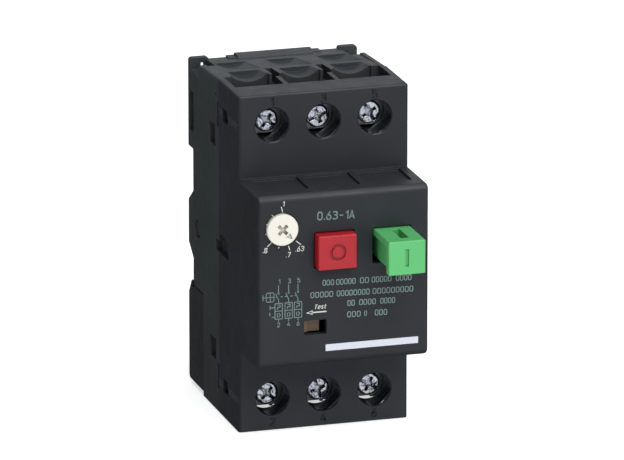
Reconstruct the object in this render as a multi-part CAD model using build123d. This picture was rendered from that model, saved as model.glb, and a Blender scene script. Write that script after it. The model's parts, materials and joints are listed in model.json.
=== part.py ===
"""Three-pole motor protection breaker for a 35 mm rail, as an assembly of separate pieces.

Frame: +X to the right seen from the front, +Y to the rear, +Z up.  The origin is the middle of
the rail seat.  Lengths are in millimetres.
"""
from build123d import *
import math
import os

# ---- driving dimensions -------------------------------------------------------------------
HALF_WIDTH = 22.5
TOP, BOTTOM = 44.3, -44.5
SEAM_Y = -23.7             # joint between the rear base and the front housing
FACE_Y = -41.7             # terminal face
NOSE_Y = -59.0             # front of the nose
NOSE_TOP, NOSE_BOTTOM = 22.6, -22.6
HOOK_Y = 4.4               # rearmost face of the hooks and of the rail clip
HOOK_TOP_REAR = 42.7       # the roof falls gently towards the rear
SHELF_REAR = 42.1
WALL = 1.85
RECESS_DEPTH = 1.35        # of the windows in the side walls
OUTSIDE = 23.0             # beyond the side walls, where cutters end
POLE_PITCH = 13.6
POLES = (-POLE_PITCH, 0.0, POLE_PITCH)
PARTITION_X = POLE_PITCH / 2
PARTITION = 1.2
INSIDE = HALF_WIDTH - WALL
WINDOW_IN = HALF_WIDTH - RECESS_DEPTH

SEAT_LOW, SEAT_HIGH = -16.9, 19.5
CLIP_RECESS_Y = -8.9

TERMINAL_Z = 36.2
SCREW_HOLE_R = 4.4
SCREW_HEAD_R, SCREW_SHANK_R = 3.1, 1.7
SCREW_HEAD_Y = (-36.7, -34.6)
SCREW_TIP_Y = -19.4
CLAMP_Y = (-34.5, -32.9)
BAR_Y = (-26.6, -25.2)
RUNNING_CLEARANCE = 0.05

STRIP_Y = -32.7            # rear edge of the strip over the terminal screws
ENTRY_REAR_Y = -21.2       # front end of the wire guides
BAR_END_Y = -22.1
STEP_Y = -15.6
CUP_HALF, CUP_DEPTH = 5.0, 2.0

START = (7.9, 17.6, 3.2, 12.0)     # x0, x1, z0, z1 of the start button's front plate
START_FRONT = -72.0
STOP = (-7.5, 2.6, 3.1, 12.0)
STOP_FRONT = -62.2
BUTTON_GAP = 0.3

DIAL_X, DIAL_Z, DIAL_R = -16.2, 13.9, 4.1
DIAL_FRONT = -60.0
TEST_WINDOW = (-10.4, -4.45, -14.6, -10.7)
TEST_FRONT = -56.8            # stays clear of the back of the front wall

CONTACT_Z = (9.0, 22.0)    # heights of the two breaks of each pole
BRIDGE_Y = (-10.9, -9.7)
COIL_Z = -1.6


# ---- helpers ------------------------------------------------------------------------------
def block(x, y, z):
    """A box from three (low, high) pairs."""
    centre = [(low + high) / 2 for low, high in (x, y, z)]
    return Pos(*centre) * Box(x[1] - x[0], y[1] - y[0], z[1] - z[0])


def prism_x(points, x0, x1):
    """A (y, z) outline carried along X."""
    wire = Wire.make_polygon([Vector(x0, y, z) for y, z in points], close=True)
    return extrude(Face(wire), amount=x1 - x0, dir=(1, 0, 0))


def prism_y(points, y0, y1):
    """An (x, z) outline carried along Y."""
    wire = Wire.make_polygon([Vector(x, y0, z) for x, z in points], close=True)
    return extrude(Face(wire), amount=y1 - y0, dir=(0, 1, 0))


def prism_z(points, z0, z1):
    """An (x, y) outline carried along Z."""
    wire = Wire.make_polygon([Vector(x, y, z0) for x, y in points], close=True)
    return extrude(Face(wire), amount=z1 - z0, dir=(0, 0, 1))


def rod_y(x, z, y0, y1, radius):
    return Pos(x, (y0 + y1) / 2, z) * Rot(90, 0, 0) * Cylinder(radius, y1 - y0)


def rod_x(y, z, x0, x1, radius):
    return Pos((x0 + x1) / 2, y, z) * Rot(0, 90, 0) * Cylinder(radius, x1 - x0)


def cone_y(x, z, y0, y1, r0, r1):
    """A cone along Y, of radius r0 at y0 and r1 at y1."""
    return Pos(x, (y0 + y1) / 2, z) * Rot(-90, 0, 0) * Cone(r0, r1, y1 - y0)


def spring(start, direction, length, coil_r, wire_r, turns):
    """A compression spring of one helix, inside the given length."""
    run = length - 2 * wire_r
    path = Helix(pitch=run / turns, height=run, radius=coil_r)
    profile = Plane(origin=path @ 0, z_dir=path % 0) * Circle(wire_r)
    coil = Pos(0, 0, wire_r) * sweep(profile, path=path)
    return Plane(origin=start, z_dir=direction) * coil


def both(shape_at):
    """Fuses what shape_at gives for the left and the right side."""
    return shape_at(-1) + shape_at(1)


def span(side, near, far):
    """The (low, high) pair in X of a stretch between two distances from the middle."""
    return (near, far) if side > 0 else (-far, -near)


def shelf(y):
    """Height of the flat shelf behind the wire guides at depth y."""
    share = (y - SEAM_Y) / (HOOK_Y - SEAM_Y)
    return TOP + (SHELF_REAR - TOP) * share


def save(node, shape):
    shape.label = node
    export_step(shape, f"parts/{node}.step")


# ---- housings -----------------------------------------------------------------------------
ROOF_IN, FLOOR_IN = 39.3, -40.6
LATCH_Z = (25.7, 31.3)
LATCH_Y = (-20.6, -15.5)
SNAP_Z = (34.2, 37.8)
SNAP_Y = (-32.2, -27.3)
SLIT_Z = (31.6, 38.2)
PIN_Y, PIN_Z, PIN_R = -4.0, -0.8, 1.9
EAR_IN, EAR_TOP = 17.4, 43.0   # lugs at the two ends of the rear top edge
EAR_HOLE_X, EAR_HOLE_Z = (18.5, 19.6), (39.3, 41.6)
NOTCH_Y = (-5.8, 2.6)
NOTCH_Z = 39.9


def wire_guides(sign, level):
    """Cutters for the stepped wire guides of all poles; sign +1 is the line side."""
    arc_r = (CUP_HALF ** 2 + CUP_DEPTH ** 2) / (2 * CUP_DEPTH)
    end = sorted((sign * 30.0, sign * 50.0))
    cutters = []
    for x in POLES:
        centre = level - sign * CUP_DEPTH + sign * arc_r
        cutters.append(rod_y(x, centre, SEAM_Y - 1, STEP_Y, arc_r))
        cutters.append(block((x - CUP_HALF, x + CUP_HALF), (SEAM_Y - 1, ENTRY_REAR_Y), end))
    cutters.append(block((-INSIDE, INSIDE), (SEAM_Y - 1, BAR_END_Y), end))
    for x in (-PARTITION_X, PARTITION_X):
        notch = sorted((level - sign * 4.0, level + sign * 2.0))
        cutters.append(block((x - 1.0, x + 1.0), (SEAM_Y - 1, STEP_Y + 1.0), notch))
    return cutters


def shallow_channels():
    """Long shallow hollows in the shelf behind each wire guide."""
    middle_y, length, channel_r, sagitta = -8.4, 10.4, 10.0, 1.3
    return [Pos(x, middle_y, shelf(middle_y) - sagitta + channel_r) * Rot(90, 0, 0)
            * Cylinder(channel_r, length) for x in POLES]


def rear_base():
    """Rear half of the casing, with rail hooks, wire guides and the walls between the poles."""
    side = [(SEAM_Y, BOTTOM), (CLIP_RECESS_Y, BOTTOM), (CLIP_RECESS_Y, SEAT_LOW), (0, SEAT_LOW),
            (0, SEAT_HIGH), (HOOK_Y, SEAT_HIGH), (HOOK_Y, HOOK_TOP_REAR), (SEAM_Y, TOP)]
    body = prism_x(side, -HALF_WIDTH, HALF_WIDTH)
    shelf_cut = [(SEAM_Y - 1, TOP + 3), (SEAM_Y - 1, shelf(SEAM_Y - 1)), (HOOK_Y + 1, shelf(HOOK_Y + 1)),
                 (HOOK_Y + 1, TOP + 3)]
    body -= prism_x(shelf_cut, -INSIDE, INSIDE)
    body = fillet(body.edges().filter_by(lambda e: abs(e.center().X) > 22 and e.center().Z > 43
                                         and e.length > 20), 0.9)
    # rail hump on both sides, raised bar and end lugs along the rear top edge
    hump = [(-1, 8.3), (0, 8.3), (HOOK_Y, 5.0), (HOOK_Y, -6.4), (0, -9.8), (-1, -9.8)]
    body += both(lambda s: prism_x(hump, *span(s, 15.6, HALF_WIDTH)))
    crest = [(0.2, 40.0), (0.2, 42.0), (1.2, 43.1), (HOOK_Y, 43.1), (HOOK_Y, 40.0)]
    body += prism_x(crest, -10.2, 10.2)
    body += block((-12.4, 12.4), (1.4, HOOK_Y), (40.0, 42.6))
    body += both(rear_ear)
    # fixed lip that hooks behind the upper edge of the rail
    lip = [(1.5, SEAT_HIGH + 1), (1.5, 15.9), (3.2, 15.9), (HOOK_Y, 17.6), (HOOK_Y, SEAT_HIGH + 1)]
    body += prism_x(lip, -18.0, 18.0)
    body -= block((-18.5, 18.5), (-0.4, 1.5), (14.6, SEAT_HIGH + 0.4))
    body -= block((-OUTSIDE, OUTSIDE), (-0.4, 1.0), (SEAT_LOW - 1, -15.6))
    # hollow inside
    body -= block((-INSIDE, INSIDE), (SEAM_Y - 1, -2.0), (-14.9, ROOF_IN))
    body -= block((-INSIDE, INSIDE), (SEAM_Y - 1, CLIP_RECESS_Y - 2.0), (FLOOR_IN, -14.0))
    body -= block((-INSIDE + 1.5, INSIDE - 1.5), (-1.8, HOOK_Y - 2.2), (22.4, ROOF_IN))
    for cutter in wire_guides(1, TOP) + wire_guides(-1, BOTTOM) + shallow_channels():
        body -= cutter
    # walls between the poles, with windows for the contact carrier and the trip bar
    for x in (-PARTITION_X, PARTITION_X):
        web = block((x - PARTITION / 2, x + PARTITION / 2), (SEAM_Y, -1.9), (-14.0, ROOF_IN + 0.1))
        web += block((x - PARTITION / 2, x + PARTITION / 2), (SEAM_Y, CLIP_RECESS_Y - 1.9),
                     (FLOOR_IN - 0.1, -13.9))
        web -= block((x - 2, x + 2), (SEAM_Y - 1, -13.4), (11.6, 19.4))
        web -= block((x - 2, x + 2), (SEAM_Y - 1, -19.4), (-14.4, -7.6))
        body += web
    body += both(side_latches)
    body = side_openings(body)
    body -= both(rear_ear_cut)
    body += clip_guide()
    return body


def side_latches(side):
    """Two snap tongues that reach forward into the windows of the front housing."""
    tongues = []
    for z0, z1 in (SNAP_Z, (-SNAP_Z[1], -SNAP_Z[0])):
        tongue = block(span(side, 18.9, 20.1), (SNAP_Y[0] + 0.4, SEAM_Y + 3.0), (z0 + 0.5, z1 - 0.5))
        root = block(span(side, 18.9, INSIDE + 0.1), (SEAM_Y + 0.2, SEAM_Y + 3.0), (z0 + 0.5, z1 - 0.5))
        hook = [(19.9, SNAP_Y[0] + 0.6), (21.5, SNAP_Y[0] + 3.0), (21.5, SNAP_Y[1] - 0.5),
                (19.9, SNAP_Y[1] - 0.5)]
        hook = [(side * x, y) for x, y in hook]
        tongues += [tongue, root, prism_z(hook, z0 + 0.5, z1 - 0.5)]
    return sum(tongues[1:], tongues[0])


def side_openings(body):
    """Windows, slits and holes in the side walls of the rear base."""
    for side in (-1, 1):
        depth = span(side, WINDOW_IN, OUTSIDE)
        for sign in (1, -1):
            body -= block(depth, LATCH_Y, sorted(sign * z for z in LATCH_Z))
            body -= block(depth, (SEAM_Y - 1, -22.0), sorted(sign * z for z in SLIT_Z))
        body -= block(depth, (SEAM_Y - 1, -21.2), (-1.6, 1.6))
        body -= rod_x(PIN_Y, PIN_Z, *depth, PIN_R + 0.6)
        body += rod_x(PIN_Y, PIN_Z, *span(side, WINDOW_IN - 0.4, WINDOW_IN + 1.0), PIN_R)
        body -= block(depth, (-21.8, -21.0), (39.4, 40.4))
        body -= block(span(side, 18.0, OUTSIDE), (-0.6, HOOK_Y - 0.9), (24.0, 34.6))
    return body


def rear_ear(side):
    """Lug at one end of the rear top edge, with rounded upper corners."""
    lug = block(span(side, EAR_IN, HALF_WIDTH), (NOTCH_Y[1], HOOK_Y), (NOTCH_Z - 0.5, EAR_TOP))
    return fillet(lug.edges().filter_by(Axis.Y).group_by(Axis.Z)[-1], 0.8)


def rear_ear_cut(side):
    """Notch in the side wall in front of the lug, and the hole through the lug."""
    notch = block(span(side, EAR_IN + 0.7, OUTSIDE), NOTCH_Y, (NOTCH_Z, EAR_TOP + 1))
    hole = block(span(side, *EAR_HOLE_X), (NOTCH_Y[1] - 0.1, HOOK_Y + 1), EAR_HOLE_Z)
    return notch + hole


def clip_guide():
    """T-shaped guide for the rail clip on the lower rear of the base, with a spring slot."""
    guide = block((-6.5, 6.5), (CLIP_RECESS_Y - 0.1, 1.0), (-42.6, SEAT_LOW + 0.1))
    guide += block((-8.5, 8.5), (-3.4, -1.4), (-42.6, SEAT_LOW + 0.1))
    guide -= block((-2.7, 2.7), (-5.6, 2.0), (-36.0, -20.8))
    guide -= block((-9, 9), (-0.4, 2.0), (-20.0, -16.0))
    return guide


def front_housing():
    """Front half of the casing: terminal face, screw tubes and the raised nose."""
    body = block((-HALF_WIDTH, HALF_WIDTH), (FACE_Y, SEAM_Y), (BOTTOM, TOP))
    body = fillet(body.edges().filter_by(Axis.Z).group_by(Axis.Y)[0], 0.8)
    body = fillet(body.edges().group_by(Axis.Y)[0].group_by(Axis.Z)[-1], 0.6)
    nose = block((-HALF_WIDTH, HALF_WIDTH), (NOSE_Y, FACE_Y + 2), (NOSE_BOTTOM, NOSE_TOP))
    nose = fillet(nose.edges().filter_by(Axis.X).group_by(Axis.Y)[0], 1.7)
    nose = fillet(nose.edges().filter_by(Axis.Z).group_by(Axis.Y)[0], 0.8)
    body += nose
    body -= block((-INSIDE, INSIDE), (FACE_Y + 2, SEAM_Y + 1), (-42.6, 42.4))
    body -= block((-INSIDE, INSIDE), (NOSE_Y + 2, FACE_Y + 3), (NOSE_BOTTOM + 2, NOSE_TOP - 2))
    body -= block((-INSIDE, INSIDE), (STRIP_Y, SEAM_Y + 1), (-50, 50))
    for x in (-PARTITION_X, PARTITION_X):
        for z in ((24.0, TOP - 0.4), (BOTTOM, -24.0)):
            body += block((x - 0.6, x + 0.6), (FACE_Y + 1, SEAM_Y - 0.2), z)
    for z in ((22.9, 24.1), (-24.1, -22.9)):
        body += block((-INSIDE - 0.1, INSIDE + 0.1), (FACE_Y + 1, -27.5), z)
    for z in (TERMINAL_Z, -TERMINAL_Z):
        for x in POLES:
            body += rod_y(x, z, FACE_Y + 1, -35.1, SCREW_HOLE_R + 0.9)
    for z in (TERMINAL_Z, -TERMINAL_Z):
        for x in POLES:
            body -= rod_y(x, z, FACE_Y - 1, -34, SCREW_HOLE_R)
            body -= cone_y(x, z, FACE_Y - 0.05, FACE_Y + 0.3, SCREW_HOLE_R + 0.35, SCREW_HOLE_R)
    body = nose_openings(body)
    return housing_sides(body)


def button_window(size, gap):
    x0, x1, z0, z1 = size
    window = block((x0 - gap, x1 + gap), (NOSE_Y - 1, NOSE_Y + 3), (z0 - gap, z1 + gap))
    return fillet(window.edges().filter_by(Axis.Y), 0.4)


def nose_openings(body):
    """Openings of the nose for the buttons, the dial and the test lever."""
    body -= button_window(START, BUTTON_GAP)
    body -= button_window(STOP, BUTTON_GAP)
    body -= button_window(TEST_WINDOW, 0.0)
    body -= rod_y(DIAL_X, DIAL_Z, NOSE_Y - 1, NOSE_Y + 3, DIAL_R + 0.2)
    for x in POLES:
        body -= block((x - 6.0, x + 6.0), (-54.2, -43.0), (NOSE_TOP - 0.6, NOSE_TOP + 1))
    return body


def housing_sides(body):
    """Windows and notches in the side walls of the front housing."""
    for side in (-1, 1):
        for sign in (1, -1):
            body -= block(span(side, 20.0, OUTSIDE), SNAP_Y, sorted(sign * z for z in SNAP_Z))
        body -= block(span(side, 21.2, OUTSIDE), (-32.4, SEAM_Y + 1), (-1.5, 3.6))
    return body


# ---- rail clip ----------------------------------------------------------------------------
def din_clip():
    """Sliding clip that hooks behind the lower edge of the rail."""
    foot = -43.3
    side = [(-8.6, foot), (-8.6, -17.3), (-0.2, -17.3), (-0.2, -17.9), (1.3, -17.9), (1.3, -16.2),
            (1.8, -16.2), (HOOK_Y, -19.9), (HOOK_Y, foot)]
    clip = prism_x(side, -HALF_WIDTH, HALF_WIDTH)
    clip = fillet(clip.edges().filter_by(Axis.X).sort_by(lambda e: -abs(e.center().Y - HOOK_Y)
                                                         - abs(e.center().Z - foot))[-1], 1.2)
    clip -= block((-18.6, 18.6), (-9, 1.4), (foot - 1, -16.0))
    inner = both(lambda s: block(span(s, 8.8, 10.0), (-5.8, 1.5), (foot, -18.0)))
    inner += both(lambda s: block(span(s, 6.8, 8.9), (-5.8, -3.7), (foot, -18.0)))
    clip += inner
    clip += block((-2.3, 2.3), (-5.0, 1.5), (-23.0, -21.2))
    clip -= block((-3.0, 3.0), (2.2, 5.0), (foot - 1, -40.6))
    return clip


# ---- current path -------------------------------------------------------------------------
def threaded_hole(x, z):
    return rod_y(x, z, BAR_Y[0] - 1, BAR_Y[1] + 3, SCREW_SHANK_R + RUNNING_CLEARANCE)


def line_bar(x):
    """Copper bar from the line terminal to the upper fixed contact."""
    side = [(BAR_Y[0], 41.2), (BAR_Y[1], 41.2), (BAR_Y[1], 32.8), (-3.4, 32.8), (-3.4, 20.0),
            (-4.8, 20.0), (-4.8, 31.4), (BAR_Y[0], 31.4)]
    bar = prism_x(side, x - 4.4, x + 4.4)
    collar = rod_y(x, TERMINAL_Z, BAR_Y[1] - 0.1, BAR_Y[1] + 1.4, 2.9)
    return bar + collar - threaded_hole(x, TERMINAL_Z)


def load_bar(x):
    """Copper bar from the load terminal to the foot of the bimetal."""
    side = [(BAR_Y[0], -40.4), (BAR_Y[1], -40.4), (BAR_Y[1], -32.8), (-12.0, -32.8), (-12.0, -26.4),
            (-13.4, -26.4), (-13.4, -31.4), (BAR_Y[0], -31.4)]
    bar = prism_x(side, x - 4.4, x + 4.4)
    collar = rod_y(x, -TERMINAL_Z, BAR_Y[1] - 0.1, BAR_Y[1] + 1.4, 2.9)
    return bar + collar - threaded_hole(x, -TERMINAL_Z)


def fixed_tips():
    """Silver contact tips of the fixed contacts, two for each pole."""
    return [block((x - 1.8, x + 1.8), (-6.2, -4.8), (z - 1.5, z + 1.5)) for x in POLES for z in CONTACT_Z]


def magnet_coil(x):
    """Trip coil with the tab that carries the lower fixed contact."""
    coil = rod_y(x, COIL_Z, -15.6, -8.2, 4.6)
    for y in (-14.6, -13.2, -11.8, -10.4):
        ring = rod_y(x, COIL_Z, y - 0.15, y + 0.15, 5.0) - rod_y(x, COIL_Z, y - 0.15, y + 0.15, 4.35)
        coil -= ring
    coil -= rod_y(x, COIL_Z, -16, -8, 2.2)
    lead = block((x + 3.9, x + 4.6), (-10.0, -3.4), (COIL_Z - 0.6, 6.0))
    tab = block((x - 2.0, x + 4.6), (-4.8, -3.4), (5.4, 10.8))
    return coil + lead + tab


def coil_yoke(x):
    """Bent steel yoke round the coil, with the fixed core."""
    yoke = block((x - 3.5, x + 3.5), (-17.0, -5.4), (COIL_Z - 6.1, COIL_Z + 6.1))
    yoke -= block((x - 4, x + 4), (-16.0, -6.6), (COIL_Z - 4.9, COIL_Z + 4.9))
    yoke -= rod_y(x, COIL_Z, -18, -15, 2.2)
    return yoke + rod_y(x, COIL_Z, -8.9, -6.5, 1.7)


def plunger(x):
    """Steel plunger that the coil pulls in on a short circuit."""
    return rod_y(x, COIL_Z, -19.6, -11.0, 1.7) + rod_y(x, COIL_Z, -20.4, -19.5, 3.2)


def bimetal(x):
    return block((x - 0.45, x + 0.45), (-19.4, -13.4), (-30.6, -8.4))


def heater(x):
    """Heater winding round the bimetal, on its insulating sleeve."""
    sleeve = block((x - 1.9, x + 1.9), (-21.0, -14.2), (-25.0, -13.6))
    sleeve -= block((x - 0.6, x + 0.6), (-19.6, -14.0), (-26, -13))
    for step in range(7):
        z = -24.2 + 1.6 * step
        band = block((x - 2.5, x + 2.5), (-22, -14), (z - 0.25, z + 0.25))
        band -= block((x - 1.5, x + 1.5), (-20.6, -13), (z - 1, z + 1))
        sleeve -= band
    return sleeve


def arc_plates(x):
    """Steel splitter plates beside the upper contact."""
    plates = []
    for step in range(5):
        y = -18.4 + 2.2 * step
        plate = block((x - 5.0, x + 5.0), (y, y + 0.8), (24.9, 30.4))
        plates.append(plate - block((x - 1.6, x + 1.6), (y - 1, y + 2), (24, 26.9)))
    return plates


# ---- moving contacts ----------------------------------------------------------------------
CARRIER_Z = sum(CONTACT_Z) / 2


def contact_carrier():
    """Cross bar that carries the moving bridges of all poles."""
    carrier = block((-19.4, 19.4), (-22.4, -18.4), (CARRIER_Z - 2.6, CARRIER_Z + 2.6))
    for x in POLES:
        cage = block((x - 3.5, x + 3.5), (-18.5, -8.5), (CARRIER_Z - 2.0, CARRIER_Z + 2.0))
        cage -= block((x - 2.5, x + 2.5), (-17.4, -9.4), (CARRIER_Z - 3, CARRIER_Z + 3))
        carrier += cage
    return carrier


def contact_bridge(x):
    """Moving bridge with a silver tip at each end."""
    bridge = block((x - 2.2, x + 2.2), BRIDGE_Y, (CONTACT_Z[0] - 1.7, CONTACT_Z[1] + 1.7))
    for z in CONTACT_Z:
        bridge += block((x - 1.6, x + 1.6), (BRIDGE_Y[1] - 0.1, BRIDGE_Y[1] + 0.9), (z - 1.3, z + 1.3))
    return bridge


# ---- terminals ----------------------------------------------------------------------------
def clamp_plate(x, z):
    """Saddle that the terminal screw presses on the wires."""
    plate = block((x - 4.6, x + 4.6), CLAMP_Y, (z - 3.8, z + 3.8))
    plate = fillet(plate.edges().filter_by(Axis.Y), 0.8)
    wings = block((x - 4.6, x - 3.6), (CLAMP_Y[1] - 0.1, CLAMP_Y[1] + 1.4), (z - 2.4, z + 2.4))
    wings += block((x + 3.6, x + 4.6), (CLAMP_Y[1] - 0.1, CLAMP_Y[1] + 1.4), (z - 2.4, z + 2.4))
    return plate + wings - rod_y(x, z, CLAMP_Y[0] - 1, CLAMP_Y[1] + 1, SCREW_SHANK_R + RUNNING_CLEARANCE)


def terminal_screw(x, z, turn):
    """Pan-head terminal screw with a cross and slot recess, its slot turned by the given angle."""
    front, back = SCREW_HEAD_Y
    head = rod_y(x, z, front, back, SCREW_HEAD_R)
    head = fillet(head.edges().group_by(Axis.Y)[0], 0.7)
    screw = head + rod_y(x, z, back - 0.1, SCREW_TIP_Y, SCREW_SHANK_R)
    screw = chamfer(screw.edges().group_by(Axis.Y)[-1], 0.5)
    slot = block((-2.7, 2.7), (front - 1, front + 1.1), (-0.42, 0.42))
    cross = block((-0.42, 0.42), (front - 1, front + 1.1), (-2.0, 2.0))
    recess = slot + cross + Rot(0, 45, 0) * block((-1.0, 1.0), (front - 1, front + 0.9), (-1.0, 1.0))
    return screw - Pos(x, 0, z) * Rot(0, turn, 0) * recess


# ---- buttons and mechanism ----------------------------------------------------------------
STEM_Y = -39.5
SPRING_SEAT_Y = -29.1


def start_button():
    """Green button: front plate, narrower core, padlock flange on top and a stem to the rear."""
    x0, x1, z0, z1 = START
    plate = block((x0, x1), (START_FRONT, START_FRONT + 2.4), (z0, z1))
    plate = fillet(plate.edges(), 0.35)
    core = block((x0 + 1.5, x1 - 0.4), (START_FRONT + 2.0, -51.5), (z0 + 0.5, z1 - 1.5))
    flange = block((x0 + 0.1, x1 - 0.1), (START_FRONT + 2.0, -51.5), (z1 - 1.7, z1 - 0.1))
    flange -= block((x0 + 4.1, x0 + 6.3), (START_FRONT + 3.4, -60.5), (z1 - 4, z1 + 1))
    core -= block((x0 + 4.1, x0 + 6.3), (START_FRONT + 3.4, -60.5), (z1 - 4.5, z1 + 1))
    core -= block((x0 + 1, x0 + 2.1), (START_FRONT + 2.4, START_FRONT + 3.4), (z0, z1 - 4.0))
    stem = block((x0 + 3.2, x1 - 2.2), (-51.6, STEM_Y), (z0 + 2.0, z1 - 3.0))
    stem += block((2.2, x0 + 3.3), (STEM_Y - 1.6, STEM_Y - 0.2), (6.2, 9.9))
    bar = block((x0 + 4.4, x0 + 5.3), (START_FRONT - 1, START_FRONT + 0.45), (z0 + 2.1, z1 - 2.1))
    return plate + core + flange + stem - bar


def stop_button():
    """Red button with a ring mark and a stem to the rear."""
    x0, x1, z0, z1 = STOP
    body = block((x0, x1), (STOP_FRONT, -53.0), (z0, z1))
    body = fillet(body.edges().filter_by(Axis.Y) + body.edges().group_by(Axis.Y)[0], 0.35)
    stem = block((x0 + 3.2, x1 - 3.2), (-53.1, -42.0), (z0 + 2.5, z1 - 2.5))
    x, z = (x0 + x1) / 2, (z0 + z1) / 2
    ring = rod_y(x, z, STOP_FRONT - 1, STOP_FRONT + 0.45, 2.2)
    ring -= rod_y(x, z, STOP_FRONT - 1, STOP_FRONT + 0.45, 1.4)
    return body + stem - ring


def setting_dial():
    """Rotary setting dial with a cross recess, a pointer and a shaft."""
    front = DIAL_FRONT
    dial = rod_y(DIAL_X, DIAL_Z, front, -56.8, DIAL_R)
    dial = fillet(dial.edges().group_by(Axis.Y)[0], 0.3)
    dial += rod_y(DIAL_X, DIAL_Z, -56.9, -46.0, 1.6)
    recess = block((-1.6, 1.6), (front - 1, front + 1.0), (-0.45, 0.45))
    recess += block((-0.45, 0.45), (front - 1, front + 1.0), (-1.6, 1.6))
    pointer = prism_y([(2.0, -0.75), (3.5, 0.0), (2.0, 0.75)], front - 1, front + 0.4)
    marks = Rot(0, 45, 0) * (recess + pointer)
    return dial - Pos(DIAL_X, 0, DIAL_Z) * marks


CAM_LOW, CAM_RISE = 2.4, 1.5


def setting_cam():
    """Spiral cam pressed on the dial's shaft; its radius grows evenly over the setting range."""
    steps = 24
    outline = []
    for step in range(steps + 1):
        angle = math.radians(-20 + 260 * step / steps)
        radius = CAM_LOW + CAM_RISE * step / steps
        outline.append((DIAL_X + radius * math.cos(angle), DIAL_Z + radius * math.sin(angle)))
    closing = math.radians(290)
    outline.append((DIAL_X + CAM_LOW * math.cos(closing), DIAL_Z + CAM_LOW * math.sin(closing)))
    cam = prism_y(outline, -49.6, -47.0)
    return cam - rod_y(DIAL_X, DIAL_Z, -50, -46, 1.6)


LEVER_PIVOT = (-12.4, 1.0)
LEVER_ARM = DIAL_Z - LEVER_PIVOT[1]


def setting_lever():
    """Lever that follows the cam and shifts the trip point."""
    x, z = LEVER_PIVOT
    arm = block((x - 0.8, x + 0.8), (-49.2, -47.4), (z - 9.0, z + LEVER_ARM))
    lever = arm + rod_y(x, z, -49.2, -45.0, 2.4) - rod_y(x, z, -50, -44, 1.05)
    for end in (z + LEVER_ARM, z - 9.0):
        lever += rod_y(x, end, -49.2, -47.4, 1.0)
    return lever


def test_lever():
    """Test slide behind the small window, with a stem down to the trip bar."""
    plate = block((-10.3, -5.6), (-56.2, -54.4), (-14.4, -10.9))
    rib = block((-10.3, -9.0), (TEST_FRONT, -56.1), (-14.4, -10.9))
    stem = block((-6.6, -5.4), (-54.5, -23.2), (-13.4, -11.9))
    return plate + rib + stem


def trip_bar():
    """Bar across all poles that the bimetals push sideways."""
    bar = block((-17.4, 18.2), (-22.6, -21.4), (-13.0, -9.0))
    for x in POLES:
        bar += block((x + 3.2, x + 4.2), (-21.5, -15.4), (-12.4, -9.6))
    return bar + block((-8.2, -7.2), (-25.6, -22.5), (-13.2, -11.2))


FRAME_X = (0.4, 6.4)
TOGGLE_PIN = (-38.0, 0.0)
TRIP_PIN = (-8.8, -4.0)


def mechanism_frame():
    """Folded steel frame that carries the pins of the latch mechanism."""
    x0, x1 = FRAME_X
    frame = block((x0, x1), (-46.0, -29.0), (-5.0, 2.6))
    frame -= block((x0 + 1.0, x1 - 1.0), (-47.0, -30.0), (-6, 4))
    for y, z in (TOGGLE_PIN, (-43.0, -2.6)):
        frame -= rod_x(y, z, x0 - 1, x1 + 1, 0.95)
    frame += block((x0, INSIDE), (-30.0, -29.0), (-9.0, -4.9))
    return frame + block((x1 - 1.0, 16.4), (SPRING_SEAT_Y, SPRING_SEAT_Y + 1.0), (0.6, 10.4))


def frame_pins():
    """Pins riveted in the mechanism frame."""
    x0, x1 = FRAME_X
    return [rod_x(y, z, x0 - 0.6, x1 + 0.6, 0.95) for y, z in (TOGGLE_PIN, (-43.0, -2.6))]


def toggle_lever():
    """Lever that turns the start button's stroke into the contact stroke."""
    x0, x1 = FRAME_X
    y, z = TOGGLE_PIN
    lever = rod_x(y, z, x0 + 1.3, x1 - 1.3, 2.0)
    lever += block((x0 + 1.6, x1 - 1.6), (y - 0.9, y + 0.9), (z, z + 9.0))
    lever += rod_x(y, z + 9.0, x0 + 1.6, x1 - 1.6, 0.9)
    return lever - rod_x(y, z, x0, x1, 1.0)


def trip_lever():
    """Latch lever that the trip bar tips to release the contacts."""
    x, z = TRIP_PIN
    lever = rod_y(x, z, -36.0, -30.5, 1.9) + block((x - 0.8, x + 0.8), (-36.0, -34.6), (z - 9.0, z))
    lever += block((x - 0.8, x + 0.8), (-32.0, -30.5), (z, z + 6.5))
    return lever - rod_y(x, z, -37, -30, 1.05)


def lever_bracket(pivot, post_y, plate_y):
    """Bracket from the left wall with the pin that a lever turns on."""
    x, z = pivot
    plate = block((-INSIDE, x + 2.6), plate_y, (z - 3.6, z + 3.0))
    return plate + rod_y(x, z, post_y, plate_y[0] + 0.1, 1.0)


# ---- write every piece --------------------------------------------------------------------
SCREW_TURNS = {1: 35, 3: -20, 5: 60, 2: 42, 4: 72, 6: 28}


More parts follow.
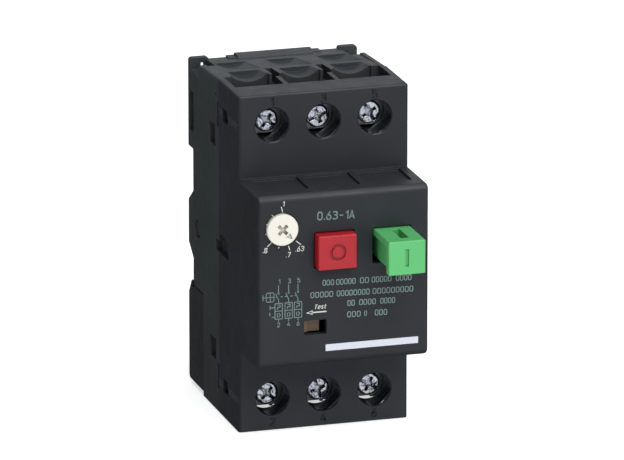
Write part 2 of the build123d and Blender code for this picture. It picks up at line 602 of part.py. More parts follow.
def main():
    os.makedirs("parts", exist_ok=True)
    save("rear_base", rear_base())
    save("front_housing", front_housing())
    save("din_clip", din_clip())
    save("din_clip_spring", spring((0, -2.4, -35.95), (0, 0, 1), 12.9, 1.8, 0.28, 7))
    for number, x in enumerate(POLES, start=1):
        save(f"line_bar_{number}", line_bar(x))
        save(f"load_bar_{number}", load_bar(x))
        save(f"magnet_coil_{number}", magnet_coil(x))
        save(f"coil_yoke_{number}", coil_yoke(x))
        save(f"plunger_{number}", plunger(x))
        save(f"bimetal_{number}", bimetal(x))
        save(f"heater_{number}", heater(x))
        save(f"contact_bridge_{number}", contact_bridge(x))
        save(f"contact_spring_{number}", spring((x, -17.35, CARRIER_Z), (0, 1, 0), 6.4, 1.7, 0.25, 4))
        for terminal, z in ((2 * number - 1, TERMINAL_Z), (2 * number, -TERMINAL_Z)):
            save(f"clamp_plate_{terminal}", clamp_plate(x, z))
            save(f"terminal_screw_{terminal}", terminal_screw(x, z, SCREW_TURNS[terminal]))
    save("fixed_contact_tips", Compound(fixed_tips()))
    save("arc_plates", Compound([plate for x in POLES for plate in arc_plates(x)]))
    save("contact_carrier", contact_carrier())
    save("start_button", start_button())
    seat_gap = SPRING_SEAT_Y - STEM_Y - 0.1
    save("start_spring", spring((START[0] + 5.4, STEM_Y + 0.05, 7.1), (0, 1, 0), seat_gap, 1.8, 0.3, 5))
    save("stop_button", stop_button())
    save("setting_dial", setting_dial())
    save("setting_cam", setting_cam())
    save("setting_lever", setting_lever())
    save("setting_bracket", lever_bracket(LEVER_PIVOT, -49.8, (-42.7, -41.2)))
    save("test_lever", test_lever())
    save("trip_bar", trip_bar())
    save("mechanism_frame", mechanism_frame())
    save("frame_pins", Compound(frame_pins()))
    save("toggle_lever", toggle_lever())
    save("trip_lever", trip_lever())
    save("trip_bracket", lever_bracket(TRIP_PIN, -36.6, (-28.5, -27.0)))


main()
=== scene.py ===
import json
import math

import bmesh
import bpy
from mathutils import Matrix, Vector


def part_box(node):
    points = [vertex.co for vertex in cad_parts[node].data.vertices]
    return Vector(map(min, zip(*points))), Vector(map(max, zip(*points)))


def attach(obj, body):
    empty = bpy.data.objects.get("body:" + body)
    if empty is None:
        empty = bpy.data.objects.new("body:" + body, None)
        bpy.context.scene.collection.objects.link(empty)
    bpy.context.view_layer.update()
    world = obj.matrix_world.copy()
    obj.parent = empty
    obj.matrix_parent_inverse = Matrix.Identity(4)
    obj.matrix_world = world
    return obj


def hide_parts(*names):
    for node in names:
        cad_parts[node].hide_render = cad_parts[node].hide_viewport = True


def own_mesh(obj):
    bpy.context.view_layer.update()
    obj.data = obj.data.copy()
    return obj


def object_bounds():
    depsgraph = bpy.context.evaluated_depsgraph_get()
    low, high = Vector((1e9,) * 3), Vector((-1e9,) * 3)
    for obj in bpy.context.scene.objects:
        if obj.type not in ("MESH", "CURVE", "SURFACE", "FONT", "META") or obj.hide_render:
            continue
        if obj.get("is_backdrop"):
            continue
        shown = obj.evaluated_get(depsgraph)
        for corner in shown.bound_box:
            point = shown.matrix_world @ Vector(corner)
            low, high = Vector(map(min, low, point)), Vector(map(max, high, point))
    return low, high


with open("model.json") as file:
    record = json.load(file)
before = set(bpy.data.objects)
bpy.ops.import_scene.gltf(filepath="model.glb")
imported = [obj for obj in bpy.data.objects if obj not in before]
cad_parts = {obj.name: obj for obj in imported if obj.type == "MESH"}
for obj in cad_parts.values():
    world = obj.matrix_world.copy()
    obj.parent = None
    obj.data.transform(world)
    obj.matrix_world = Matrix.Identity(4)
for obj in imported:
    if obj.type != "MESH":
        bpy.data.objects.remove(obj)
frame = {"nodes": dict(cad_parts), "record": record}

CAD_LOW, CAD_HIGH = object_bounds()
MM = 0.001

# ---- places on the CAD and thickness of the print, in millimetres --------------------------
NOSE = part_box("front_housing")[0].y / MM              # front face of the nose
TERMINAL_FACE = -41.7
PRINT = 0.03                                          # thickness of the printed ink
POLES = (-13.6, 0.0, 13.6)
TERMINAL_Z = 36.2
HOLE_R = 4.4


# ---- node materials -----------------------------------------------------------------------
MIX_FACTOR, MIX_A, MIX_B, MIX_RESULT = 0, 6, 7, 2      # sockets of a Mix node that mixes colours


class Graph:
    """A node material under construction."""

    def __init__(self, name):
        self.material = bpy.data.materials.new(name)
        self.material.use_nodes = True
        self.tree = self.material.node_tree
        self.tree.nodes.clear()
        self.bsdf = self.add("ShaderNodeBsdfPrincipled")
        out = self.add("ShaderNodeOutputMaterial")
        self.tree.links.new(self.bsdf.outputs["BSDF"], out.inputs["Surface"])
        self.place = self.add("ShaderNodeTexCoord").outputs["Object"]

    def add(self, kind, **settings):
        node = self.tree.nodes.new(kind)
        for key, value in settings.items():
            setattr(node, key, value)
        return node

    def put(self, socket, value):
        """Links a socket, or sets a constant on it."""
        if isinstance(value, bpy.types.NodeSocket):
            self.tree.links.new(value, socket)
        else:
            socket.default_value = value

    def shade(self, **values):
        for key, value in values.items():
            self.put(self.bsdf.inputs[key.replace("_", " ")], value)

    def math(self, operation, a, b=0.0):
        node = self.add("ShaderNodeMath", operation=operation)
        for socket, value in zip(node.inputs, (a, b)):
            self.put(socket, value)
        return node.outputs[0]

    def ramp(self, value, low, high, to_low=0.0, to_high=1.0):
        node = self.add("ShaderNodeMapRange")
        for socket, v in zip(node.inputs, (value, low, high, to_low, to_high)):
            self.put(socket, v)
        return node.outputs[0]

    def blend(self, factor, a, b):
        node = self.add("ShaderNodeMix", data_type="RGBA")
        self.put(node.inputs[MIX_FACTOR], factor)
        for index, colour in ((MIX_A, a), (MIX_B, b)):
            if not isinstance(colour, bpy.types.NodeSocket):
                colour = (*colour, 1.0)[:4]
            self.put(node.inputs[index], colour)
        return node.outputs[MIX_RESULT]

    def noise(self, size_mm, detail=2.0, stretch=(1, 1, 1), rough=0.5):
        """Noise whose grain is about size_mm across."""
        place = self.place
        if stretch != (1, 1, 1):
            scale = self.add("ShaderNodeVectorMath", operation="MULTIPLY")
            self.put(scale.inputs[0], place)
            scale.inputs[1].default_value = stretch
            place = scale.outputs[0]
        node = self.add("ShaderNodeTexNoise")
        self.put(node.inputs["Vector"], place)
        node.inputs["Scale"].default_value = 1000.0 / size_mm     # grains in a metre
        node.inputs["Detail"].default_value = detail
        node.inputs["Roughness"].default_value = rough
        return node.outputs[0]

    def rounding(self, radius_mm):
        """Normal of an edge rounded in the shader, and how near an edge the point is."""
        bevel = self.add("ShaderNodeBevel", samples=4)
        bevel.inputs["Radius"].default_value = radius_mm * MM
        flat = self.add("ShaderNodeNewGeometry").outputs["Normal"]
        dot = self.add("ShaderNodeVectorMath", operation="DOT_PRODUCT")
        self.put(dot.inputs[0], bevel.outputs[0])
        self.put(dot.inputs[1], flat)
        flat_face, round_edge = 0.995, 0.9
        return bevel.outputs[0], self.ramp(dot.outputs["Value"], flat_face, round_edge)

    def recessed(self, reach_mm):
        """1 on open surfaces, falling to 0 deep inside slots and corners."""
        node = self.add("ShaderNodeAmbientOcclusion", samples=6, only_local=True)
        node.inputs["Distance"].default_value = reach_mm * MM
        return node.outputs["AO"]

    def bump(self, height, depth_mm, strength=1.0, normal=None):
        node = self.add("ShaderNodeBump")
        node.inputs["Strength"].default_value = strength
        node.inputs["Distance"].default_value = depth_mm * MM
        self.put(node.inputs["Height"], height)
        if normal is not None:
            self.put(node.inputs["Normal"], normal)
        return node.outputs[0]


def linear(r, g, b):
    """Colour given as 0-255 display values, as the shader wants it."""
    return tuple((v / 255 / 12.92) if v / 255 <= 0.04045 else ((v / 255 + 0.055) / 1.055) ** 2.4
                 for v in (r, g, b))


def moulded(name, colour, rough=0.5, grain_mm=0.35, grain_depth=0.012, edge_mm=0.22, rubbing_and_highlight_colour=None,
            rubbing_and_highlight=0.35, gloss=0.5, vary=0.12, mask=None, mask_rough=0.08, recess_shade=None):
    """Moulded plastic: fine spark-eroded grain, slow colour drift, soft edges lightened partly by rubbing
    and partly as a painted highlight.
    mask, if given, is a function of the graph that says where the mould was polished; recess_shade is
    the colour of the painted shade in engraved marks and other recesses."""
    g = Graph(name)
    drift = g.noise(16, 2)
    dark = tuple(c * (1 - vary) for c in colour)
    light = tuple(c * (1 + vary) for c in colour)
    base = g.blend(g.ramp(drift, 0.3, 0.7), dark, light)
    speck = g.ramp(g.noise(0.5, 3), 0.66, 0.76, 0.0, 0.25)
    base = g.blend(speck, base, tuple(min(1, c * 1.35 + 0.004) for c in colour))
    normal, edge = g.rounding(edge_mm)
    # lighter edges: partly rubbing, partly a painted highlight along the edges
    rubbing_and_highlight_colour = rubbing_and_highlight_colour or tuple(min(1.0, c * 1.8 + 0.012) for c in colour)
    rubbing_and_highlight_mask = g.math("MULTIPLY", edge, g.ramp(g.noise(1.6, 3), 0.35, 0.65, 0.25, 1.0))
    base = g.blend(g.math("MULTIPLY", rubbing_and_highlight_mask, rubbing_and_highlight), base, rubbing_and_highlight_colour)
    # painted shade: engraved marks and other recesses are darkened by an occlusion mask
    if recess_shade:
        base = g.blend(g.ramp(g.recessed(1.2), 0.45, 0.85), recess_shade, base)
    grain = g.noise(grain_mm, 3, rough=0.6)
    roughness = g.ramp(g.noise(4, 3), 0.3, 0.7, rough - 0.05, rough + 0.05)
    depth = grain
    if mask:
        polished = mask(g)
        roughness = g.math("ADD", g.math("MULTIPLY", roughness, g.math("SUBTRACT", 1.0, polished)),
                           g.math("MULTIPLY", polished, mask_rough))
        depth = g.math("MULTIPLY", grain, g.math("SUBTRACT", 1.0, polished))
    g.shade(Base_Color=base, Roughness=roughness, Specular_IOR_Level=gloss,
            Normal=g.bump(depth, grain_depth, 0.6, normal))
    return g.material


def in_screw_tubes(g):
    """1 inside the six tubes over the terminal screws."""
    part = g.add("ShaderNodeSeparateXYZ")
    g.put(part.inputs[0], g.place)
    x, y, z = part.outputs
    pitch = (POLES[1] - POLES[0]) * MM
    nearest_pole = g.math("MULTIPLY", g.math("ROUND", g.math("DIVIDE", x, pitch)), pitch)
    across = g.math("SUBTRACT", x, nearest_pole)
    up = g.math("SUBTRACT", g.math("ABSOLUTE", z), TERMINAL_Z * MM)
    far = g.math("SQRT", g.math("ADD", g.math("MULTIPLY", across, across), g.math("MULTIPLY", up, up)))
    near = g.ramp(far, (HOLE_R + 0.42) * MM, (HOLE_R + 0.34) * MM)
    return g.math("MULTIPLY", near, g.ramp(y, (TERMINAL_FACE + 0.01) * MM, (TERMINAL_FACE + 0.06) * MM))


def metal(name, colour, rough=0.25, scratch_mm=0.5, stretch=(1, 1, 1), stain=None, edge_mm=0.08, depth=0.004,
          dent_depth_and_recess_shade=0.0):
    """Bare or plated metal: brushed scratches, clouded plating, edges bright from rubbing, a dented face
    and painted shade in the recesses.
    """
    g = Graph(name)
    cloud = g.ramp(g.noise(2.4, 4), 0.35, 0.7)
    stain = stain or tuple(c * 0.72 for c in colour)
    base = g.blend(g.math("MULTIPLY", cloud, 0.6), colour, stain)
    normal, edge = g.rounding(edge_mm)
    base = g.blend(g.math("MULTIPLY", edge, 0.5), base, tuple(min(1.0, c * 1.25) for c in colour))
    if dent_depth_and_recess_shade:
        # painted shade: recesses such as the screws' cross slots are darkened by an occlusion mask
        base = g.blend(g.ramp(g.recessed(1.6), 0.35, 0.8), tuple(c * 0.06 for c in colour), base)
        normal = g.bump(g.noise(1.3, 1), dent_depth_and_recess_shade, 1.0, normal)
    scratch = g.noise(scratch_mm, 4, stretch)
    g.shade(Base_Color=base, Metallic=1.0,
            Roughness=g.ramp(scratch, 0.3, 0.7, rough * 0.75, rough * 1.35),
            Normal=g.bump(scratch, depth, 0.7, normal))
    return g.material


def ink(name, colour, cover=0.9, under=(0.03, 0.034, 0.038)):
    """Pad-printed ink: slightly uneven cover, thin at its edges."""
    g = Graph(name)
    cover_map = g.ramp(g.noise(0.25, 3), 0.25, 0.6, cover - 0.25, 1.0)
    g.shade(Base_Color=g.blend(cover_map, under, colour),
            Roughness=g.ramp(g.noise(0.6, 2), 0.3, 0.7, 0.45, 0.6),
            Specular_IOR_Level=0.35, Normal=g.bump(g.noise(0.2, 2), 0.004, 0.5))
    return g.material


CHARCOAL = linear(35, 38, 43)
# the base's own tone, made lighter as painted light on its sides
BASE_TONE_WITH_SIDE_LIGHT = linear(48, 54, 55)
COPPER = linear(205, 130, 95)
ZINC = linear(228, 232, 238)

FINISHES = {
    # the edge lightening set here is partly rubbing, partly a painted highlight
    "housing_black": moulded("charcoal_front", CHARCOAL, rough=0.5, rubbing_and_highlight=0.6, mask=in_screw_tubes),
    "housing_side": moulded("charcoal_base", BASE_TONE_WITH_SIDE_LIGHT, rough=0.52, rubbing_and_highlight=0.55),
    "clip_black": moulded("black_acetal", linear(34, 37, 38), rough=0.4, grain_mm=0.6),
    # the last colour given to the buttons and the dial is the painted shade in their engraved marks
    "button_green": moulded("green_button", linear(88, 182, 108), rough=0.42, grain_depth=0.005, edge_mm=0.3,
                            rubbing_and_highlight_colour=linear(170, 236, 180), rubbing_and_highlight=0.3, vary=0.04, recess_shade=linear(72, 160, 90)),
    "button_red": moulded("red_button", linear(172, 22, 36), rough=0.4, grain_depth=0.005, edge_mm=0.35,
                          rubbing_and_highlight_colour=linear(226, 84, 92), rubbing_and_highlight=0.45, vary=0.05, recess_shade=linear(144, 17, 30)),
    "dial_cream": moulded("cream_dial", linear(222, 219, 208), rough=0.32, grain_depth=0.004, edge_mm=0.3,
                          rubbing_and_highlight_colour=linear(238, 237, 230), rubbing_and_highlight=0.5, vary=0.03, recess_shade=linear(184, 178, 164)),
    "lever_brown": moulded("brown_lever", linear(118, 97, 82), rough=0.45, vary=0.15),
    "moving_plastic": moulded("beige_polyester", linear(150, 144, 130), rough=0.5, vary=0.06),
    "trip_plastic": moulded("light_grey_plastic", linear(188, 186, 178), rough=0.45, vary=0.05),
    "copper": metal("copper_strip", COPPER, 0.28, stretch=(1, 0.15, 0.15)),
    "coil_copper": metal("enamelled_copper", linear(178, 98, 60), 0.22, stretch=(1, 1, 1)),
    "silver_tip": metal("silver_contact", linear(226, 222, 214), 0.3),
    "zinc_steel": metal("zinc_steel", linear(180, 182, 186), 0.34, stretch=(1, 0.2, 0.2)),
    "screw_zinc": metal("bright_zinc_screw", ZINC, 0.12, 0.35, stain=linear(168, 174, 188),
                        edge_mm=0.22, dent_depth_and_recess_shade=0.3),
    "spring_steel": metal("spring_steel", linear(150, 150, 152), 0.25),
    "bimetal_strip": metal("bimetal_strip", linear(176, 168, 156), 0.35, stretch=(1, 0.2, 0.1)),
    "heater_wire": metal("heater_wire", linear(140, 128, 116), 0.4),
    "pin_steel": metal("pin_steel", linear(172, 173, 176), 0.2, stretch=(0.2, 1, 1)),
}

for part in frame["record"]["subparts"]:
    node = frame["nodes"][part["node"]]
    node.data.materials.clear()
    node.data.materials.append(FINISHES[part["material_slot"]])


# ---- printed and moulded marks ------------------------------------------------------------
def piece(name, bm, material, body):
    """Makes a mesh piece from bm, given in millimetres, and lets it ride on a body."""
    bmesh.ops.recalc_face_normals(bm, faces=bm.faces)
    bmesh.ops.scale(bm, vec=(MM, MM, MM), verts=bm.verts)
    mesh = bpy.data.meshes.new(name)
    bm.to_mesh(mesh)
    bm.free()
    obj = bpy.data.objects.new(name, mesh)
    bpy.context.scene.collection.objects.link(obj)
    mesh.materials.append(material)
    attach(obj, body)
    return obj


def slab(bm, outline, front, back):
    """Solid with this outline (x, z points) between two Y planes."""
    rows = [[bm.verts.new((x, y, z)) for x, z in outline] for y in (front, back)]
    bm.faces.new(rows[0])
    bm.faces.new(rows[1][::-1])
    count = len(outline)
    for i in range(count):
        j = (i + 1) % count
        bm.faces.new((rows[0][i], rows[0][j], rows[1][j], rows[1][i]))


def mitre(before, after, width):
    """Step from a line's middle to its side where its direction turns from before to after."""
    side = before + after
    side = side.normalized() if side.length > 1e-6 else before
    normal = Vector((-side.y, side.x))
    return normal * (width / 2 / max(0.5, normal.dot(Vector((-before.y, before.x)))))


def stroke(bm, points, width, front, back):
    """A drawn line: one slab along each run of points, with mitred corners."""
    pts = [Vector(p) for p in points]
    left, right = [], []
    for i, p in enumerate(pts):
        before = (p - pts[i - 1]).normalized() if i else (pts[1] - p).normalized()
        after = (pts[i + 1] - p).normalized() if i + 1 < len(pts) else before
        step = mitre(before, after, width)
        left.append(p + step)
        right.append(p - step)
    slab(bm, [tuple(p) for p in left + right[::-1]], front, back)


def loop(bm, outline, width, front, back):
    """A closed drawn line along the outline."""
    pts = [Vector(p) for p in outline]
    inner, outer = [], []
    count = len(pts)
    for i, p in enumerate(pts):
        before = (p - pts[i - 1]).normalized()
        after = (pts[(i + 1) % count] - p).normalized()
        step = mitre(before, after, width)
        inner.append(p + step)
        outer.append(p - step)
    grid = [[bm.verts.new((p.x, y, p.y)) for p in ring] for ring, y in
            ((outer, front), (inner, front), (inner, back), (outer, back))]
    for i in range(count):
        j = (i + 1) % count
        for a, b in ((0, 1), (1, 2), (2, 3), (3, 0)):
            bm.faces.new((grid[a][i], grid[a][j], grid[b][j], grid[b][i]))


def round_box(x0, x1, z0, z1, r, steps=4):
    """Outline of a box with rounded corners."""
    points = []
    corners = ((x1 - r, z1 - r, 0), (x0 + r, z1 - r, 90), (x0 + r, z0 + r, 180), (x1 - r, z0 + r, 270))
    for cx, cz, start in corners:
        for k in range(steps + 1):
            a = math.radians(start + 90 * k / steps)
            points.append((cx + r * math.cos(a), cz + r * math.sin(a)))
    return points


# characters drawn as single strokes on a grid 0.6 wide and 1 high
STROKES = {
    "0": [[(0.0, 0.3), (0.0, 0.75), (0.13, 0.97), (0.43, 0.97), (0.56, 0.75), (0.56, 0.25), (0.43, 0.03),
           (0.13, 0.03), (0.0, 0.25), (0.0, 0.35)]],
    "1": [[(0.05, 0.74), (0.3, 0.97), (0.3, 0.0)]],
    "2": [[(0.02, 0.8), (0.14, 0.97), (0.42, 0.97), (0.55, 0.83), (0.55, 0.66), (0.03, 0.05), (0.58, 0.05)]],
    "3": [[(0.02, 0.84), (0.14, 0.97), (0.42, 0.97), (0.54, 0.85), (0.54, 0.66), (0.42, 0.54), (0.2, 0.54)],
          [(0.4, 0.54), (0.56, 0.4), (0.56, 0.16), (0.42, 0.03), (0.14, 0.03), (0.0, 0.16)]],
    "4": [[(0.36, 1.0), (0.02, 0.28), (0.6, 0.28)], [(0.44, 0.6), (0.44, 0.0)]],
    "5": [[(0.54, 0.96), (0.07, 0.96), (0.05, 0.55), (0.2, 0.62), (0.42, 0.6), (0.56, 0.46), (0.56, 0.17),
           (0.42, 0.03), (0.14, 0.03), (0.0, 0.14)]],
    "6": [[(0.46, 1.0), (0.06, 0.46), (0.02, 0.2), (0.16, 0.03), (0.42, 0.03), (0.56, 0.18), (0.56, 0.4),
           (0.42, 0.56), (0.2, 0.56), (0.06, 0.44)]],
    "7": [[(0.0, 0.96), (0.56, 0.96), (0.22, 0.0)]],
    "8": [[(0.28, 0.54), (0.1, 0.62), (0.04, 0.8), (0.14, 0.97), (0.42, 0.97), (0.52, 0.8), (0.46, 0.62),
           (0.28, 0.54), (0.08, 0.44), (0.0, 0.22), (0.14, 0.03), (0.42, 0.03), (0.56, 0.22), (0.48, 0.44),
           (0.28, 0.54)]],
    ".": [[(0.05, 0.0), (0.05, 0.13)]],
    "-": [[(0.06, 0.48), (0.5, 0.48)]],
    "A": [[(0.0, 0.0), (0.29, 1.0), (0.58, 0.0)], [(0.1, 0.3), (0.48, 0.3)]],
    "T": [[(0.0, 0.96), (0.6, 0.96)], [(0.3, 0.96), (0.3, 0.0)]],
    "e": [[(0.06, 0.36), (0.5, 0.36), (0.5, 0.54), (0.38, 0.68), (0.16, 0.68), (0.04, 0.54), (0.04, 0.16),
           (0.16, 0.03), (0.46, 0.03)]],
    "s": [[(0.46, 0.66), (0.14, 0.68), (0.04, 0.54), (0.12, 0.4), (0.38, 0.32), (0.46, 0.18), (0.36, 0.03),
           (0.02, 0.05)]],
    "t": [[(0.16, 0.95), (0.16, 0.14), (0.26, 0.03), (0.42, 0.03)], [(0.0, 0.68), (0.4, 0.68)]],
}
ADVANCE = {"1": 0.52, ".": 0.3, "t": 0.62, "s": 0.7, "e": 0.74}      # of the narrow characters
USUAL_ADVANCE = 0.82
GAP = 0.24                                            # part of an advance that stays empty


def lettering(bm, words, x, z, height, front, back, weight=0.13, slant=0.0):
    """Draws characters centred on (x, z), facing -Y."""
    widths = [ADVANCE.get(c, USUAL_ADVANCE) for c in words]
    start = x - (sum(widths) - GAP) * height / 2
    for c, width in zip(words, widths):
        for line in STROKES[c]:
            points = [(start + (px + slant * (pz - 0.5)) * height, z + (pz - 0.5) * height)
                      for px, pz in line]
            stroke(bm, points, weight * height, front, back)
        start += width * height


def askew(bm, degrees=-1.2, pivot=(0.0, -4.0)):
    """Turns print about the pivot, an x and a z: it was padded on slightly out of square."""
    turn = Matrix.Translation((pivot[0], 0, pivot[1])) @ Matrix.Rotation(math.radians(-degrees), 4, "Y")
    bmesh.ops.transform(bm, matrix=turn @ Matrix.Translation((-pivot[0], 0, -pivot[1])), verts=bm.verts)
    return bm


def placeholder(bm, x0, x1, z, height, weight, front, back):
    """A run of small empty frames, in place of small print."""
    pitch = height * 0.86
    count = max(1, round((x1 - x0) / pitch))
    pitch = (x1 - x0) / count
    for k in range(count):
        left = x0 + k * pitch
        outline = round_box(left, left + pitch * 0.66, z - height / 2, z + height / 2, height * 0.2, 2)
        loop(bm, outline, weight, front, back)


INK_PALE = ink("ink_pale", linear(206, 214, 206))
INK_GREY = ink("ink_grey_green", linear(122, 146, 142))
INK_WHITE = ink("ink_white", linear(208, 212, 222), cover=1.0)
FRONT, BACK = NOSE - PRINT, NOSE + 0.02

# the dial's scale
marks = bmesh.new()
for points in (((-16.35, 19.8), (-16.0, 18.3)), ((-18.8, 17.8), (-18.2, 17.2)),
               ((-20.3, 15.5), (-19.8, 15.35)), ((-20.5, 12.85), (-20.0, 12.85)),
               ((-20.05, 9.65), (-18.85, 10.7)), ((-17.15, 9.0), (-16.9, 9.35)),
               ((-14.5, 9.4), (-14.1, 8.2)), ((-12.5, 10.55), (-11.2, 9.45))):
    stroke(marks, points, 0.2, FRONT, BACK)
piece("dial_scale_lines", marks, INK_PALE, "housing")
numbers = bmesh.new()
for words, x, z in (("1", -15.8, 20.5), (".8", -20.6, 8.7), (".7", -14.5, 7.1), (".63", -11.5, 8.4)):
    lettering(numbers, words, x, z, 1.25, FRONT, BACK, 0.15, 0.12)
piece("dial_scale_numbers", numbers, INK_PALE, "housing")

# the setting range beside it, and the test mark with its arrow
label = bmesh.new()
lettering(label, "0.63-1A", -2.0, 16.4, 2.05, FRONT, BACK, 0.14)
piece("setting_range", askew(label, -1.9, (-2, 16.4)), INK_GREY, "housing")
test = bmesh.new()
lettering(test, "Test", -6.1, -7.25, 1.15, FRONT, BACK, 0.15, 0.25)
stroke(test, ((-8.4, -8.66), (-4.5, -8.66)), 0.32, FRONT, BACK)
loop(test, ((-9.7, -8.66), (-8.25, -9.1), (-8.25, -8.22)), 0.2, FRONT, BACK)
piece("test_mark", test, INK_PALE, "housing")

# three-pole circuit symbol
LINE = 0.17
symbol = bmesh.new()
for x, top, low in ((-17.1, "1", "2"), (-14.45, "3", "4"), (-12.0, "5", "6")):
    lettering(symbol, top, x + 0.2, 0.2, 1.15, FRONT, BACK, 0.14)
    lettering(symbol, low, x, -11.15, 1.15, FRONT, BACK, 0.14)
    stroke(symbol, ((x, -0.75), (x, -2.85)), LINE, FRONT, BACK)
    stroke(symbol, ((x - 0.72, -2.95), (x, -4.6), (x, -5.5)), LINE, FRONT, BACK)
    stroke(symbol, ((x - 0.22, -2.7), (x + 0.22, -3.1)), LINE, FRONT, BACK)
    stroke(symbol, ((x - 0.22, -3.1), (x + 0.22, -2.7)), LINE, FRONT, BACK)
    loop(symbol, round_box(x - 0.95, x + 1.0, -9.6, -5.5, 0.18), LINE, FRONT, BACK)
    stroke(symbol, ((x - 0.85, -7.5), (x + 0.9, -7.5)), LINE, FRONT, BACK)
    stroke(symbol, ((x - 0.3, -5.9), (x + 0.4, -5.9), (x + 0.4, -6.55), (x - 0.3, -6.55), (x - 0.3, -7.1)),
           LINE, FRONT, BACK)
    stroke(symbol, ((x - 0.35, -9.2), (x - 0.35, -8.1)), LINE, FRONT, BACK)
    stroke(symbol, ((x, -8.0), (x + 0.5, -8.55), (x, -9.15)), LINE, FRONT, BACK)
    stroke(symbol, ((x, -9.7), (x, -10.3)), LINE, FRONT, BACK)
for x0, x1 in ((-17.9, -17.3), (-16.6, -16.0), (-15.5, -14.9), (-14.0, -13.4), (-12.9, -12.3)):
    stroke(symbol, ((x0, -3.8), (x1, -3.8)), LINE, FRONT, BACK)
loop(symbol, round_box(-20.35, -18.3, -4.95, -2.55, 0.5), LINE, FRONT, BACK)
for points in (((-20.3, -3.75), (-18.35, -3.75)), ((-19.3, -2.6), (-19.3, -4.9)),
               ((-21.2, -3.0), (-21.2, -4.5)), ((-21.15, -3.75), (-20.4, -3.75)),
               ((-19.35, -5.9), (-19.35, -7.1)), ((-19.3, -6.5), (-18.1, -6.5)),
               ((-19.4, -7.7), (-19.4, -8.6)), ((-18.9, -9.0), (-18.1, -9.0))):
    stroke(symbol, points, LINE, FRONT, BACK)
piece("circuit_symbol", symbol, INK_GREY, "housing")

# empty frames where the small print was
rows = bmesh.new()
for z, spans in ((-1.2, ((-5.5, -2.3), (-1.9, 3.4), (4.4, 7.0), (7.5, 12.9), (13.9, 18.2))),
                 (-4.25, ((-8.6, -2.4), (-1.7, 7.2), (7.8, 18.8))),
                 (-6.95, ((1.2, 3.3), (4.3, 8.9), (9.9, 14.0))),
                 (-9.95, ((1.2, 5.0), (5.7, 6.5), (8.5, 12.0)))):
    for x0, x1 in spans:
        placeholder(rows, x0, x1, z, 1.35, 0.2, FRONT, BACK)
piece("small_print_frames", askew(rows), INK_GREY, "housing")

stripe = bmesh.new()
slab(stripe, round_box(-4.7, 19.8, -19.15, -17.4, 0.1), FRONT, BACK)
piece("white_stripe", stripe, INK_WHITE, "housing")

# moulded pole numbers beside the screw tubes
RAISED = moulded("raised_numbers", linear(12, 13, 15), rough=0.3, grain_depth=0.002)
digits = bmesh.new()
for x, above, below in zip(POLES, "135", "246"):
    lettering(digits, above, x, TERMINAL_Z + 6.15, 2.2, TERMINAL_FACE - 0.12, TERMINAL_FACE + 0.1, 0.16)
    lettering(digits, below, x, -TERMINAL_Z - 6.2, 2.2, TERMINAL_FACE - 0.12, TERMINAL_FACE + 0.1, 0.16)
piece("pole_numbers", digits, RAISED, "housing")

# ---- coil springs drawn in place of the CAD springs ---------------------------------------
COIL_R, WIRE_R = 1.8, 0.24
FLAT_END = 0.08                                       # share of the wire that lies flat at each end
WIRE_SIDES = 10


def coil_spring(name, start, direction, length, turns, node):
    """A wire spring with closed ends that stands for a CAD spring, whose CAD part it hides."""
    axis = Vector(direction)
    side = Vector((1, 0, 0))
    across = axis.cross(side)
    steps = 28 * (turns + 3)                          # 40 to 45 in each turn
    bm = bmesh.new()
    rings = []
    for k in range(steps + 1):
        share = k / steps
        angle = 2 * math.pi * turns * share
        climb = min(1.0, max(0.0, (share - FLAT_END) / (1 - 2 * FLAT_END)))
        rise = WIRE_R + (length - 2 * WIRE_R) * climb
        out = side * math.cos(angle) + across * math.sin(angle)
        centre = Vector(start) + axis * rise + out * COIL_R
        rings.append([bm.verts.new(centre + (out * math.cos(t) + axis * math.sin(t)) * WIRE_R)
                      for t in (2 * math.pi * i / WIRE_SIDES for i in range(WIRE_SIDES))])
    for a, b in zip(rings, rings[1:]):
        for i in range(WIRE_SIDES):
            j = (i + 1) % WIRE_SIDES
            bm.faces.new((a[i], a[j], b[j], b[i]))
    bm.faces.new(rings[0])
    bm.faces.new(rings[-1][::-1])
    for face in bm.faces:
        face.smooth = True
    obj = piece(name, bm, FINISHES["spring_steel"], "housing")
    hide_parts(node)
    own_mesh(obj)


low, high = (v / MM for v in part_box("start_spring"))
coil_spring("start_return_spring", ((low.x + high.x) / 2, low.y, (low.z + high.z) / 2), (0, 1, 0),
            high.y - low.y, 5, "start_spring")
low, high = (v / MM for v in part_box("din_clip_spring"))
coil_spring("rail_clip_spring", ((low.x + high.x) / 2, (low.y + high.y) / 2, high.z), (0, 0, -1),
            high.z - low.z, 7, "din_clip_spring")

# ---- floor, light and camera --------------------------------------------------------------
FRONT_LOW = (0.19, 0.19, 0.2)                         # the room's light, by where it comes from
REAR_LOW = (0.07, 0.075, 0.075)
ABOVE = (0.17, 0.175, 0.19)
GLOW = (0.75, 0.77, 0.82)
FLOOR_GAP = 0.0002

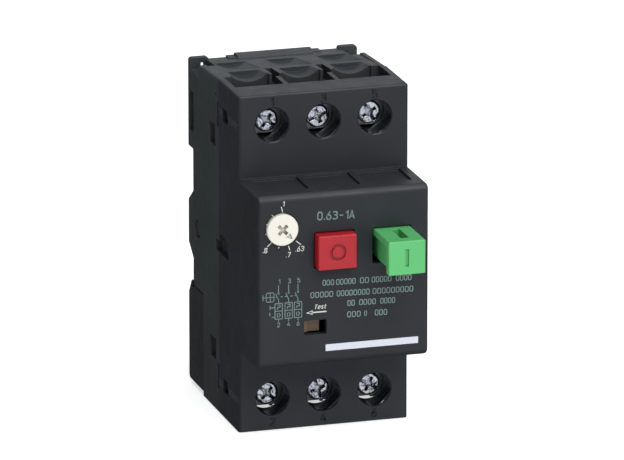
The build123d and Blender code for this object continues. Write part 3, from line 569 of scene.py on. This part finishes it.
bm = bmesh.new()
bmesh.ops.create_grid(bm, x_segments=8, y_segments=8, size=5.0)
floor_mesh = bpy.data.meshes.new("floor")
bm.to_mesh(floor_mesh)
bm.free()
floor = bpy.data.objects.new("floor", floor_mesh)
bpy.context.scene.collection.objects.link(floor)
floor.location.z = CAD_LOW.z - FLOOR_GAP
paper = Graph("white_paper")
paper.shade(Base_Color=paper.blend(paper.noise(40, 2), (0.86, 0.86, 0.86), (0.9, 0.9, 0.9)), Roughness=0.9,
            Specular_IOR_Level=0.1, Emission_Color=(1, 1, 1, 1), Emission_Strength=0.62)
floor_mesh.materials.append(paper.material)
floor.visible_glossy = False
floor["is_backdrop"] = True

world = bpy.data.worlds.new("studio")
world.use_nodes = True
bpy.context.scene.world = world
nodes, links = world.node_tree.nodes, world.node_tree.links
split = nodes.new("ShaderNodeSeparateXYZ")
links.new(nodes.new("ShaderNodeTexCoord").outputs["Generated"], split.inputs[0])


def world_blend(socket, low, high, a, b):
    """Colour that goes from a to b as a direction's component goes from low to high."""
    level = nodes.new("ShaderNodeMapRange")
    level.interpolation_type = "SMOOTHSTEP"
    level.inputs["From Min"].default_value, level.inputs["From Max"].default_value = low, high
    links.new(socket, level.inputs["Value"])
    mix = nodes.new("ShaderNodeMix")
    mix.data_type = "RGBA"
    links.new(level.outputs[0], mix.inputs[MIX_FACTOR])
    for socket_in, colour in ((mix.inputs[MIX_A], a), (mix.inputs[MIX_B], b)):
        if isinstance(colour, bpy.types.NodeSocket):
            links.new(colour, socket_in)
        else:
            socket_in.default_value = (*colour, 1)
    return mix.outputs[MIX_RESULT]


below = world_blend(split.outputs["Y"], -0.9, 0.1, FRONT_LOW, REAR_LOW)
sky = world_blend(split.outputs["Z"], -0.18, 0.2, below, ABOVE)
facing = nodes.new("ShaderNodeVectorMath")            # a bright patch low in front, seen in the screw heads
facing.operation = "DOT_PRODUCT"
links.new(split.inputs[0].links[0].from_socket, facing.inputs[0])
facing.inputs[1].default_value = Vector((0.4, -0.88, -0.18)).normalized()
links.new(world_blend(facing.outputs["Value"], 0.93, 0.975, sky, GLOW), nodes["Background"].inputs["Color"])


def softbox(name, place, width, height, watts):
    """A rectangular light that points at the origin."""
    light = bpy.data.lights.new(name, "AREA")
    light.shape = "RECTANGLE"
    light.size, light.size_y = width, height
    light.energy = watts
    obj = bpy.data.objects.new(name, light)
    obj.location = place
    obj.rotation_euler = (-Vector(place)).to_track_quat("-Z", "Y").to_euler()
    bpy.context.scene.collection.objects.link(obj)


softbox("top_softbox", (0.1, -0.1, 1.5), 1.4, 1.2, 8.5)
softbox("rear_softbox", (0.5, 1.5, 0.6), 1.6, 0.8, 2.5)
softbox("key_softbox", (0.1, -1.05, 0.95), 0.8, 0.8, 11.5)
softbox("fill_softbox", (1.2, -0.7, 0.5), 0.7, 0.9, 4)

AZIMUTH, ELEVATION = math.radians(16.812), math.radians(16.344)
CAMERA_DISTANCE = 2.0                                 # metres
AIM_DEPTH, AIM_UP, AIM_RIGHT = -31.2, 4.357, 0.095    # point the camera looks at, in millimetres
back = Vector((-math.sin(AZIMUTH) * math.cos(ELEVATION), -math.cos(AZIMUTH) * math.cos(ELEVATION),
               math.sin(ELEVATION)))
turn = (-back).to_track_quat("-Z", "Y")
right, up = turn @ Vector((1, 0, 0)), turn @ Vector((0, 1, 0))
camera_data = bpy.data.cameras.new("camera")
camera_data.sensor_width = 36.0
camera_data.lens = 451.5
camera_data.clip_start, camera_data.clip_end = 0.05, 40.0
camera = bpy.data.objects.new("camera", camera_data)
bpy.context.scene.collection.objects.link(camera)
aim = Vector((0, AIM_DEPTH * MM, 0)) + up * AIM_UP * MM + right * AIM_RIGHT * MM
camera.location = aim + back * CAMERA_DISTANCE
camera.rotation_mode = "QUATERNION"
camera.rotation_quaternion = turn
bpy.context.scene.camera = camera
bpy.context.scene.view_settings.view_transform = "Standard"

low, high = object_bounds()
